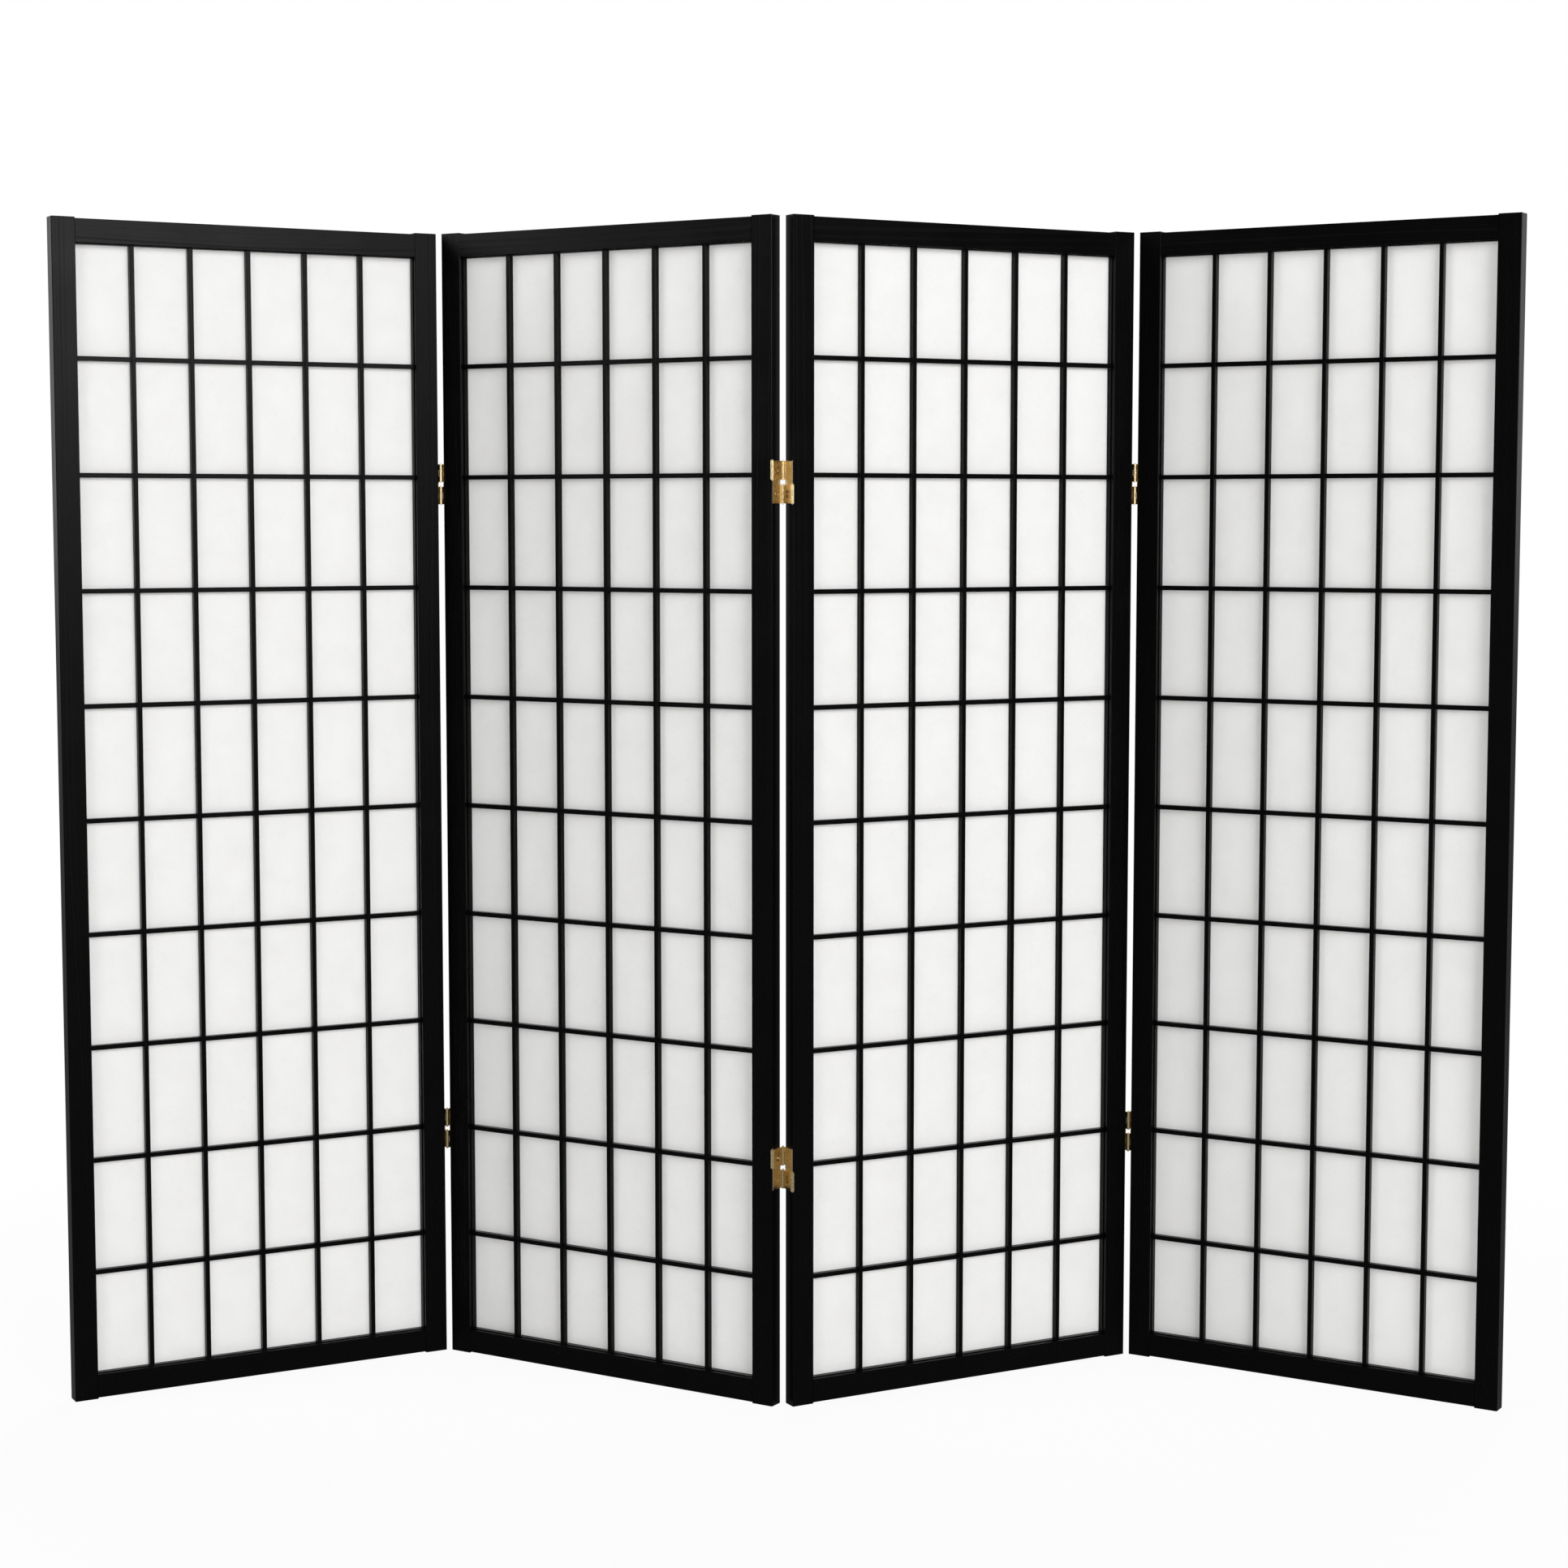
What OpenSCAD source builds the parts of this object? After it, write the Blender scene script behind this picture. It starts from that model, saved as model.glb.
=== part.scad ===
// Free-standing folding shoji screen: four lacquered wooden panels with a lattice,
// a sheet of paper behind each lattice, and double-acting hinges between the panels.
// Millimetres. +Z is up and the front of the screen faces -Y. The origin is on the
// floor, under the middle of the standing screen.

/* [Panel] */
// Height of a panel, to the ends of its stiles
panel_h = 1220; // [900:1:1900]
// Width of a panel
panel_w = 415.5; // [300:0.5:600]
// Thickness of the frame, from its front face to its back face
frame_t = 16; // [14:0.5:30]
// Fold between neighbouring panels as the screen stands, measured from straight
stand_fold = 60; // [30:1:100]

/* [Frame] */
// Width of a stile
stile_w = 24.5; // [20:0.5:40]
// Height of the top rail
top_rail_h = 24.5; // [20:0.5:50]
// Height of the bottom rail
bottom_rail_h = 24.5; // [20:0.5:80]
// How far the stile ends stand past the rails
horn = 1.3; // [0.5:0.1:6]
// Flat on each eased edge of the frame
edge_ease = 0.5; // [0.3:0.1:1.5]
// Length of a rail tenon
tenon_l = 14; // [8:0.5:16]
// Thickness of a rail tenon
tenon_t = 5; // [4:0.5:9]
// Height of a rail tenon
tenon_h = 12; // [8:0.5:15]
// Clearance in the glued wooden joints
glue_gap = 0.1; // [0.05:0.05:0.3]

/* [Lattice] */
// Depth of the lattice's front behind the frame's front
lattice_set = 5; // [4:0.5:9]
// Width of a lattice bar, seen from the front
bar_w = 4.8; // [3:0.1:8]
// Depth of a lattice bar, from front to back
bar_t = 6.5; // [4:0.5:9]
// Flat on each eased front edge of a lattice bar
bar_ease = 0.4; // [0.2:0.1:0.8]
// Panes across a panel
pane_columns = 6; // [3:1:8]
// Panes up a panel
pane_rows = 10; // [5:1:14]
// Height of the bottom row of panes
bottom_pane_h = 105; // [60:1:140]
// Width of the frame's rabbet, which takes the border strips
rabbet_w = 4; // [2:0.5:6]
// How far the border strips show inside the frame
border_show = 1; // [0.5:0.1:3]
// How far each bar end is let into a border strip
bar_seat = 2.5; // [1:0.5:4]

/* [Paper] */
// Thickness of the paper
paper_t = 0.3; // [0.1:0.1:1]
// How far the paper stops short of the lattice's outer edge
paper_margin = 1; // [0.5:0.5:2.5]

/* [Hinge] */
// Height of a hinge
leaf_h = 43; // [38:1:60]
// Thickness of the leaves and links
leaf_t = 0.9; // [0.8:0.1:1.5]
// How far a leaf's straight edge stops short of the frame's face
leaf_inset = 0.8; // [0.5:0.1:2]
// Diameter of a hinge pin
pin_d = 2; // [1.8:0.1:4]
// Running clearance around a hinge pin
pin_gap = 0.03; // [0.02:0.01:0.08]
// How far a pin stands past its barrel
pin_end = 0.8; // [0.4:0.1:1.2]
// Distance of the barrels' axes from the frame's faces
axis_set = 2.2; // [1.8:0.1:4]
// Height of the open slot between the two halves of a hinge
half_slot = 5; // [3:0.5:8]
// Clearance between the ends of neighbouring knuckles
knuckle_gap = 0.1; // [0.1:0.1:0.5]
// Clearance around a turning barrel
turn_gap = 0.25; // [0.2:0.05:0.6]
// Diameter of the hole in a link that gives access to a screw
access_d = 8; // [6:0.5:10]
// Height of the middle of the lower hinges above the floor
lower_hinge_z = 249; // [100:1:400]
// Distance of the middle of the upper hinges below the top
upper_hinge_drop = 267; // [100:1:400]

/* [Screw] */
// Length of a hinge screw
screw_l = 13; // [8:1:17]
// Diameter of a screw's shank
screw_d = 2.6; // [2:0.1:3.5]
// Diameter of a screw's countersunk head
screw_head_d = 5.4; // [4.5:0.1:6]
// Length of a screw's point
screw_point_l = 3; // [2:0.5:4]
// Clearance around a screw
screw_gap = 0.05; // [0.02:0.01:0.1]
// Width of the cross recess in a screw's head
recess_w = 0.7; // [0.5:0.1:1]
// Length of the cross recess in a screw's head
recess_l = 3; // [2:0.1:3.5]
// Depth of the cross recess in a screw's head
recess_t = 0.7; // [0.4:0.1:1]

/* [Hidden] */
$fn = 48;
lacquer = "#17171a";
bar_lacquer = "#1c1c1f";
paper_white = "#f2f0ea";
brass = "#c8a04a";
screw_brass = "#b58d3d";

// Cuts run this far past the face that they open
past = 1;

// The opening inside the frame
rail_l = panel_w - 2 * stile_w;
open_b = horn + bottom_rail_h;
open_t = panel_h - horn - top_rail_h;
open_h = open_t - open_b;

// Tenons lie in the middle of the frame, clear of the rabbet
tenon_y = (frame_t - tenon_t) / 2;
top_tenon_z = open_t + rabbet_w + (top_rail_h - rabbet_w - tenon_h) / 2;
bottom_tenon_z = horn + (bottom_rail_h - rabbet_w - tenon_h) / 2;

// The lattice: columns are equal, and all rows but the bottom one are equal
pane_w = (rail_l - (pane_columns - 1) * bar_w) / pane_columns;
row_pitch = (open_h - bottom_pane_h) / (pane_rows - 1);
columns = [0 : pane_columns - 2];
rows = [0 : pane_rows - 2];
function upright_x(i) = stile_w + (i + 1) * pane_w + i * bar_w;
function cross_z(j) = open_t - (j + 1) * row_pitch;

// The border strips fill the rabbet and frame the lattice
border_w = rabbet_w - glue_gap + border_show;
lattice_l = stile_w - rabbet_w + glue_gap;
lattice_b = open_b - rabbet_w + glue_gap;
lattice_w = panel_w - 2 * lattice_l;
lattice_h = open_t + rabbet_w - glue_gap - lattice_b;
lap_t = bar_t / 2;
bar_inset = border_w - bar_seat;

// The hinge: a rolled barrel fills the gap between the panels
bore_d = pin_d + 2 * pin_gap;
barrel_d = bore_d + 2 * leaf_t;
hinge_gap = barrel_d;
room_d = barrel_d + 2 * turn_gap;
half_h = (leaf_h - half_slot) / 2;
knuckle_h = (half_h - 2 * knuckle_gap) / 3;
knuckle_pitch = knuckle_h + knuckle_gap;
front_axis_y = -axis_set;
back_axis_y = frame_t + axis_set;
top_half_z = half_slot / 2;
bottom_half_z = -leaf_h / 2;
pin_ease = pin_end / 2;
head_h = (screw_head_d - screw_d) / 2;
hinge_zs = [lower_hinge_z, panel_h - upper_hinge_drop];

// Panels stand in a zig-zag, the same on both sides of the middle hinge, with the
// outermost barrels at equal distances before and behind the origin
stand = stand_fold / 2;
front_reach = hinge_gap / 2 * sin(stand) + axis_set * cos(stand) + barrel_d / 2;
back_reach = (panel_w + hinge_gap / 2) * sin(stand) + back_axis_y * cos(stand) + barrel_d / 2;
near_y = (front_reach - back_reach) / 2;
far_y = near_y + panel_w * sin(stand);
inner_x = hinge_gap / 2 * cos(stand) + back_axis_y * sin(stand);
outer_x = inner_x + (panel_w + hinge_gap) * cos(stand) + 2 * axis_set * sin(stand);
span_x = panel_w * cos(stand);
panel_xs = [-outer_x - span_x, -inner_x - span_x, inner_x, outer_x];
panel_ys = [near_y, far_y, near_y, far_y];
last_panel = len(panel_xs);
panels = [1 : last_panel];
folds = [1 : last_panel - 1];
function odd(number) = number % 2 == 1;

panel_parts = [
    "left_stile", "right_stile", "top_rail", "bottom_rail", "upright_bars", "cross_bars",
    "paper", "hinge_pins", "hinge_screws"
];
hinge_parts = ["left_leaf", "right_leaf", "top_link", "bottom_link"];
hinge_levels = ["lower", "upper"];
function panel_node(p, part) = str("panel_", p, "_", part);
function hinge_node(f, level, part) = str("hinge_", f, f + 1, "_", hinge_levels[level], "_", part);

// Places a panel's own frame: x across the panel, y from its front to its back
module panel_frame(p) {
    translate([panel_xs[p - 1], panel_ys[p - 1], 0])
        rotate([0, 0, odd(p) ? stand : -stand])
            children();
}

// The hinge pieces are drawn on a panel's right edge, with x across the gap
module right_edge(z) {
    translate([panel_w, 0, z])
        children();
}

// The left edge carries the same pieces turned half round
module left_edge(z) {
    translate([0, frame_t, z])
        rotate([0, 0, 180])
            children();
}

// Two mirrored copies, on the left and right of a panel
module both_sides() {
    children();
    translate([panel_w, 0, 0])
        mirror([1, 0, 0])
            children();
}

module eased_rectangle(a, b, ease) {
    polygon([
        [ease, 0], [a - ease, 0], [a, ease], [a, b - ease],
        [a - ease, b], [ease, b], [0, b - ease], [0, ease]
    ]);
}

// A block with a small flat on every edge
module eased_block(x, y, z, ease) {
    intersection() {
        linear_extrude(z)
            eased_rectangle(x, y, ease);
        translate([0, y, 0])
            rotate([90, 0, 0])
                linear_extrude(y)
                    eased_rectangle(x, z, ease);
        rotate([90, 0, 90])
            linear_extrude(x)
                eased_rectangle(y, z, ease);
    }
}

// A left stile: the rabbet stops level with the rails' rabbets
module stile() {
    difference() {
        eased_block(stile_w, frame_t, panel_h, edge_ease);
        translate([stile_w - rabbet_w, lattice_set, open_b - rabbet_w])
            cube([rabbet_w + past, frame_t, open_h + 2 * rabbet_w]);
        for (z = [bottom_tenon_z, top_tenon_z])
            translate([stile_w - tenon_l, tenon_y - glue_gap, z - glue_gap])
                cube([tenon_l + past, tenon_t + 2 * glue_gap, tenon_h + 2 * glue_gap]);
    }
}

module left_stile(p) {
    color(lacquer)
        panel_frame(p)
            difference() {
                stile();
                if (p > 1)
                    for (z = hinge_zs)
                        left_edge(z)
                            leaf_screws(screw_gap);
            }
}

module right_stile(p) {
    color(lacquer)
        panel_frame(p)
            difference() {
                translate([panel_w, 0, 0])
                    mirror([1, 0, 0])
                        stile();
                if (p < last_panel)
                    for (z = hinge_zs)
                        right_edge(z)
                            leaf_screws(screw_gap);
            }
}

// A rail between the stiles, with a tenon at each end
module rail(z, h, rabbet_z, tenon_z) {
    tenon_reach = tenon_l - glue_gap;
    union() {
        difference() {
            translate([stile_w, 0, z])
                rotate([90, 0, 90])
                    linear_extrude(rail_l)
                        eased_rectangle(frame_t, h, edge_ease);
            translate([stile_w - past, lattice_set, rabbet_z])
                cube([rail_l + 2 * past, frame_t, rabbet_w + past]);
        }
        translate([stile_w - tenon_reach, tenon_y, tenon_z])
            cube([rail_l + 2 * tenon_reach, tenon_t, tenon_h]);
    }
}

module top_rail(p) {
    color(lacquer)
        panel_frame(p)
            rail(open_t, top_rail_h, open_t - past, top_tenon_z);
}

module bottom_rail(p) {
    color(lacquer)
        panel_frame(p)
            rail(horn, bottom_rail_h, open_b - rabbet_w, bottom_tenon_z);
}

// Section of a lattice bar: the front edges are eased
module bar_section() {
    polygon([
        [bar_ease, 0], [bar_w - bar_ease, 0], [bar_w, bar_ease],
        [bar_w, bar_t], [0, bar_t], [0, bar_ease]
    ]);
}

// An upright bar, half lapped from behind where the cross bars pass
module upright_bar(x) {
    difference() {
        translate([x, lattice_set, lattice_b + bar_inset])
            linear_extrude(lattice_h - 2 * bar_inset)
                bar_section();
        for (j = rows)
            translate([x - past, lattice_set + lap_t, cross_z(j) - glue_gap])
                cube([bar_w + 2 * past, lap_t + past, bar_w + 2 * glue_gap]);
    }
}

// A cross bar, half lapped from the front where the upright bars pass
module cross_bar(z) {
    difference() {
        translate([lattice_l + bar_inset, lattice_set, z + bar_w])
            rotate([0, 90, 0])
                linear_extrude(lattice_w - 2 * bar_inset)
                    bar_section();
        for (i = columns)
            translate([upright_x(i) - glue_gap, lattice_set - past, z - past])
                cube([bar_w + 2 * glue_gap, lap_t + past, bar_w + 2 * past]);
    }
}

// The left border strip, housed for the ends of the cross bars
module upright_border() {
    difference() {
        translate([lattice_l, lattice_set, lattice_b + border_w])
            cube([border_w, bar_t, lattice_h - 2 * border_w]);
        for (j = rows)
            translate([lattice_l + bar_inset - glue_gap, lattice_set - past, cross_z(j) - glue_gap])
                cube([bar_seat + glue_gap + past, bar_t + 2 * past, bar_w + 2 * glue_gap]);
    }
}

// A bottom or top border strip, housed for the ends of the upright bars
module cross_border(z, housing_z) {
    difference() {
        translate([lattice_l, lattice_set, z])
            cube([lattice_w, bar_t, border_w]);
        for (i = columns)
            translate([upright_x(i) - glue_gap, lattice_set - past, housing_z])
                cube([bar_w + 2 * glue_gap, bar_t + 2 * past, bar_seat + glue_gap + past]);
    }
}

module upright_bars(p) {
    color(bar_lacquer)
        panel_frame(p) {
            for (i = columns)
                upright_bar(upright_x(i));
            both_sides()
                upright_border();
        }
}

module cross_bars(p) {
    top_z = lattice_b + lattice_h - border_w;
    color(bar_lacquer)
        panel_frame(p) {
            for (j = rows)
                cross_bar(cross_z(j));
            cross_border(lattice_b, lattice_b + bar_inset - glue_gap);
            cross_border(top_z, top_z - past);
        }
}

module paper(p) {
    color(paper_white)
        panel_frame(p)
            translate([lattice_l + paper_margin, lattice_set + bar_t, lattice_b + paper_margin])
                cube([lattice_w - 2 * paper_margin, paper_t, lattice_h - 2 * paper_margin]);
}

// Cylinders about a barrel's axis, y giving the axis
module about_axis(y, z, d, h) {
    translate([hinge_gap / 2, y, z])
        cylinder(d = d, h = h);
}

// The two end knuckles of one half, which a leaf holds
module end_knuckles(y, z, d, grow) {
    for (step = [0, 2])
        about_axis(y, z + step * knuckle_pitch - grow, d, knuckle_h + 2 * grow);
}

// The middle knuckle of one half, which a link holds
module middle_knuckle(y, z, d, grow) {
    about_axis(y, z + knuckle_pitch - grow, d, knuckle_h + 2 * grow);
}

// A leaf: its top half rolls round the front axis and its bottom half round the back axis
module leaf() {
    difference() {
        union() {
            translate([0, leaf_inset, -leaf_h / 2])
                cube([leaf_t, frame_t - 2 * leaf_inset, leaf_h]);
            translate([0, front_axis_y, top_half_z])
                cube([leaf_t, frame_t / 2 - front_axis_y, half_h]);
            translate([0, frame_t / 2, bottom_half_z])
                cube([leaf_t, back_axis_y - frame_t / 2, half_h]);
            end_knuckles(front_axis_y, top_half_z, barrel_d, 0);
            end_knuckles(back_axis_y, bottom_half_z, barrel_d, 0);
        }
        middle_knuckle(front_axis_y, top_half_z, room_d, knuckle_gap);
        middle_knuckle(back_axis_y, bottom_half_z, room_d, knuckle_gap);
        about_axis(front_axis_y, top_half_z - past, bore_d, half_h + 2 * past);
        about_axis(back_axis_y, bottom_half_z - past, bore_d, half_h + 2 * past);
        leaf_screws(screw_gap);
    }
}

// A link joins the front barrel of one leaf to the back barrel of the other
module link(z) {
    difference() {
        union() {
            translate([(hinge_gap - leaf_t) / 2, front_axis_y, z])
                cube([leaf_t, back_axis_y - front_axis_y, half_h]);
            middle_knuckle(front_axis_y, z, barrel_d, 0);
            middle_knuckle(back_axis_y, z, barrel_d, 0);
        }
        for (y = [front_axis_y, back_axis_y]) {
            end_knuckles(y, z, room_d, knuckle_gap);
            about_axis(y, z - past, bore_d, half_h + 2 * past);
        }
        translate([0, frame_t / 2, z + half_h / 2])
            rotate([0, 90, 0])
                cylinder(d = access_d, h = hinge_gap);
    }
}

// A pin with eased ends that fills the barrel of one half
module pin(y, z) {
    pin_l = half_h + 2 * pin_end;
    translate([hinge_gap / 2, y, z - pin_end])
        rotate_extrude()
            polygon([
                [0, 0], [pin_d / 2 - pin_ease, 0], [pin_d / 2, pin_ease],
                [pin_d / 2, pin_l - pin_ease], [pin_d / 2 - pin_ease, pin_l], [0, pin_l]
            ]);
}

module leaf_pins() {
    pin(front_axis_y, top_half_z);
    pin(back_axis_y, bottom_half_z);
}

// A countersunk screw along -z with the top of its head at zero, grown for its own hole
module screw(grow) {
    rotate_extrude()
        polygon([
            [0, 0], [screw_head_d / 2 + grow, 0], [screw_d / 2 + grow, -head_h],
            [screw_d / 2 + grow, screw_point_l - screw_l], [0, -screw_l - grow]
        ]);
}

module screw_recess() {
    for (turn = [0, 90])
        rotate([0, 0, turn])
            translate([-recess_l / 2, -recess_w / 2, -recess_t])
                cube([recess_l, recess_w, recess_t + past]);
}

// Places a screw in the middle of each half of a leaf, its head level with the leaf
module at_screws() {
    for (z = [top_half_z, bottom_half_z])
        translate([leaf_t, frame_t / 2, z + half_h / 2])
            rotate([0, 90, 0])
                children();
}

module leaf_screws(grow) {
    at_screws()
        screw(grow);
}

module finished_screws() {
    at_screws()
        difference() {
            screw(0);
            screw_recess();
        }
}

// The pins and screws that a panel carries, on each edge that has a hinge
module hinge_pins(p) {
    color(brass)
        panel_frame(p)
            for (z = hinge_zs) {
                if (p > 1)
                    left_edge(z)
                        leaf_pins();
                if (p < last_panel)
                    right_edge(z)
                        leaf_pins();
            }
}

module hinge_screws(p) {
    color(screw_brass)
        panel_frame(p)
            for (z = hinge_zs) {
                if (p > 1)
                    left_edge(z)
                        finished_screws();
                if (p < last_panel)
                    right_edge(z)
                        finished_screws();
            }
}

module left_leaf(f, level) {
    color(brass)
        panel_frame(f)
            right_edge(hinge_zs[level])
                leaf();
}

module right_leaf(f, level) {
    color(brass)
        panel_frame(f + 1)
            left_edge(hinge_zs[level])
                leaf();
}

// The first and last folds turn on their front barrels and the middle fold on its back
// barrels, so each link stays with the panel whose barrel is at rest
module place_link(f, level, with_left) {
    color(brass)
        if (with_left)
            panel_frame(f)
                right_edge(hinge_zs[level])
                    children();
        else
            panel_frame(f + 1)
                left_edge(hinge_zs[level])
                    children();
}

module top_link(f, level) {
    place_link(f, level, !odd(f))
        link(top_half_z);
}

module bottom_link(f, level) {
    place_link(f, level, odd(f))
        link(bottom_half_z);
}

for (p = panels) {
    left_stile(p);
    right_stile(p);
    top_rail(p);
    bottom_rail(p);
    upright_bars(p);
    cross_bars(p);
    paper(p);
    hinge_pins(p);
    hinge_screws(p);
}
for (f = folds)
    for (level = [0, 1]) {
        left_leaf(f, level);
        right_leaf(f, level);
        top_link(f, level);
        bottom_link(f, level);
    }
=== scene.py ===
"""Finishes and stage for a folding shoji screen: black lacquer, paper and brass round its fixed frame."""

import math

import bpy
import numpy as np
from bpy.props import FloatProperty, FloatVectorProperty, IntProperty, PointerProperty
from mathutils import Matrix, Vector


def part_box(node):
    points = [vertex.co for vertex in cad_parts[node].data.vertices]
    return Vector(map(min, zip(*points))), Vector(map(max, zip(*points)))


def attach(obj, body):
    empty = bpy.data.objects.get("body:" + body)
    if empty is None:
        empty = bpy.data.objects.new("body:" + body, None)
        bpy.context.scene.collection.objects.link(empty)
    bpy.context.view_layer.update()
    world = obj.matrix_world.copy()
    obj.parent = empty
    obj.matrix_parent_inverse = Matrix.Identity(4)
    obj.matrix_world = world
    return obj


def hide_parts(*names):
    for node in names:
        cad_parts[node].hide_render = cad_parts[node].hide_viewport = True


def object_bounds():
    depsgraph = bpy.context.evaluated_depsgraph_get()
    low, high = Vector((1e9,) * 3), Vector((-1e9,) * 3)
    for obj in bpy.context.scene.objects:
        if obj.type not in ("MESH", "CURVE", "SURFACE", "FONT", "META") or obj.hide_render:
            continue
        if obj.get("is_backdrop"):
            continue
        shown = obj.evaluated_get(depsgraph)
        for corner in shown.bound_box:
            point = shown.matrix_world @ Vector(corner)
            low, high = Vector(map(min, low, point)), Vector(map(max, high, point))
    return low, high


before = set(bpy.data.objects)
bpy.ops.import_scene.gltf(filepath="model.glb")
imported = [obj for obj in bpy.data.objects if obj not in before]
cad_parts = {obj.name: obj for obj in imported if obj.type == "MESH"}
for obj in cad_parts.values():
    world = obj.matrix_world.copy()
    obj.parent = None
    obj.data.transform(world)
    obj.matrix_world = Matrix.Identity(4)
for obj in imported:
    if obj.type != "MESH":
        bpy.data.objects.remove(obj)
cad_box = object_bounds()

bl_info = {
    "name": "Folding shoji screen",
    "version": (1, 0, 0),
    "blender": (4, 5, 0),
    "location": "3D View > Sidebar > Shoji",
    "description": "Dresses the frame of a folding paper screen and sets it on a studio stage",
    "category": "Object",
}

PANELS = (1, 2, 3, 4)
FOLDS = ("12", "23", "34")
LEVELS = ("lower", "upper")
MILLIMETRE = 0.001
WHOLE_TURN = 2 * math.pi
WHITE = (1, 1, 1, 1)
LAMP_DISTANCE = 9.0
# Each lamp's azimuth from the front towards the right, its elevation, and its width and height in metres
LAMPS = {
    "key": (34, 20.5, (5.0, 5.0)),
    "fill": (-81, 17, (4.0, 4.0)),
    "front": (-24, 8, (2.5, 4.5)),
    "back": (165, 35, (5.0, 4.0)),
}


# Settings


def colour_setting(name, description, default):
    """A colour that a user may change."""
    return FloatVectorProperty(
        name=name, description=description, default=default, subtype="COLOR", size=3, min=0, max=1
    )


def length_setting(name, description, default):
    """A length that a user may change, in metres."""
    return FloatProperty(
        name=name, description=description, default=default, subtype="DISTANCE", unit="LENGTH", precision=5
    )


def share_setting(name, description, default):
    """A share from nothing to all that a user may change."""
    return FloatProperty(
        name=name, description=description, default=default, subtype="FACTOR", min=0, max=1
    )


def power_setting(name, description, default):
    """The power of a lamp that a user may change, in watts."""
    return FloatProperty(name=name, description=description, default=default, unit="POWER", min=0)


def angle_setting(name, description, degrees):
    """An angle that a user may change, given in degrees."""
    return FloatProperty(
        name=name, description=description, default=math.radians(degrees), subtype="ANGLE"
    )


class ShojiLacquer(bpy.types.PropertyGroup):
    """The black lacquer on the frame and the lattice."""

    colour: colour_setting("Lacquer", "Colour of the lacquer", (0.0014, 0.0014, 0.0015))
    grain_colour: colour_setting("Grain", "Colour in the grain lines", (0.0008, 0.0008, 0.0008))
    gloss: FloatProperty(
        name="Refraction", description="Refractive index that sets the gloss", default=1.18, min=1, max=2
    )
    roughness: share_setting("Roughness", "Roughness of the lacquer between grain lines", 0.26)
    ring_pitch: length_setting("Ring pitch", "Usual distance between grain lines", 0.0036)
    wander: length_setting("Wander", "How far a grain line strays sideways", 0.016)
    relief: length_setting("Relief", "Depth of the grain under the lacquer", 0.00003)


class ShojiPaper(bpy.types.PropertyGroup):
    """The sheets of paper behind the lattice."""

    colour: colour_setting("Paper", "Colour of the paper", (0.936, 0.934, 0.929))
    fibre_colour: colour_setting("Fibre", "Colour of the long fibres in the paper", (0.80, 0.79, 0.76))
    glow: share_setting("Glow", "Share of the light that a face of the sheet lets through", 0.3)
    drum: length_setting("Drum", "How far the sheet bellies out between the bars", 0.0005)
    ripple: length_setting("Ripple", "Height of the fine ripples in the sheet", 0.00006)
    pane_steps: IntProperty(
        name="Steps", description="Mesh steps across each pane", default=12, min=4, max=24
    )


class ShojiBrass(bpy.types.PropertyGroup):
    """The hinges, their pins and their screws."""

    colour: colour_setting("Brass", "Colour of the clean brass", (0.83, 0.66, 0.38))
    dull_colour: colour_setting("Dull brass", "Colour of the brass where it has dulled", (0.72, 0.54, 0.28))
    screw_colour: colour_setting("Screw", "Colour of the screws", (0.74, 0.58, 0.33))
    roughness: share_setting("Roughness", "Roughness of the brass", 0.24)
    thread_pitch: length_setting("Thread pitch", "Distance between turns of a screw's thread", 0.0011)
    thread_depth: length_setting("Thread depth", "Depth of a screw's thread", 0.00035)
    shank: length_setting("Shank", "Diameter of a screw's shank", 0.0026)
    recess_length: length_setting("Recess length", "Length of each arm of the cross, end to end", 0.003)
    recess_width: length_setting("Recess width", "Width of an arm of the cross recess", 0.0007)
    recess_depth: length_setting("Recess depth", "Depth of the cross recess", 0.0007)


class ShojiStage(bpy.types.PropertyGroup):
    """The floor, the lights and the camera."""

    floor_colour: colour_setting("Floor", "Colour of the floor", (0.92, 0.92, 0.92))
    floor_size: length_setting("Floor size", "Side of the floor", 60.0)
    shadow_share: share_setting("Shadow", "Share of the floor's shading that shows near the screen", 0.07)
    floor_gloss: share_setting("Floor in gloss", "Share of white that gloss shows of the floor", 0.25)
    room_gloss: share_setting("Room in gloss", "Share of white that gloss shows of the room in front", 0.05)
    sky: FloatProperty(
        name="Sky", description="Strength of the even light from all round", default=0.1, min=0
    )
    key: power_setting("Key", "Power of the lamp at the front right", 582)
    fill: power_setting("Fill", "Power of the lamp at the left", 292)
    front: power_setting("Front", "Power of the weak lamp at the front left", 100)
    back: power_setting("Back", "Power of the lamp behind", 300)
    eye: FloatVectorProperty(
        name="Camera",
        description="Place of the camera",
        default=(0.0709, -3.1683, 0.9170),
        subtype="TRANSLATION",
        unit="LENGTH",
        size=3,
    )
    pitch: angle_setting("Pitch", "How far the camera looks up", -5.036)
    yaw: angle_setting("Yaw", "How far the camera looks to the left", 1.3)
    lens: FloatProperty(
        name="Lens",
        description="Focal length for a frame 36 mm wide",
        default=69.34,
        subtype="DISTANCE_CAMERA",
    )


# Shader trees


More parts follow.
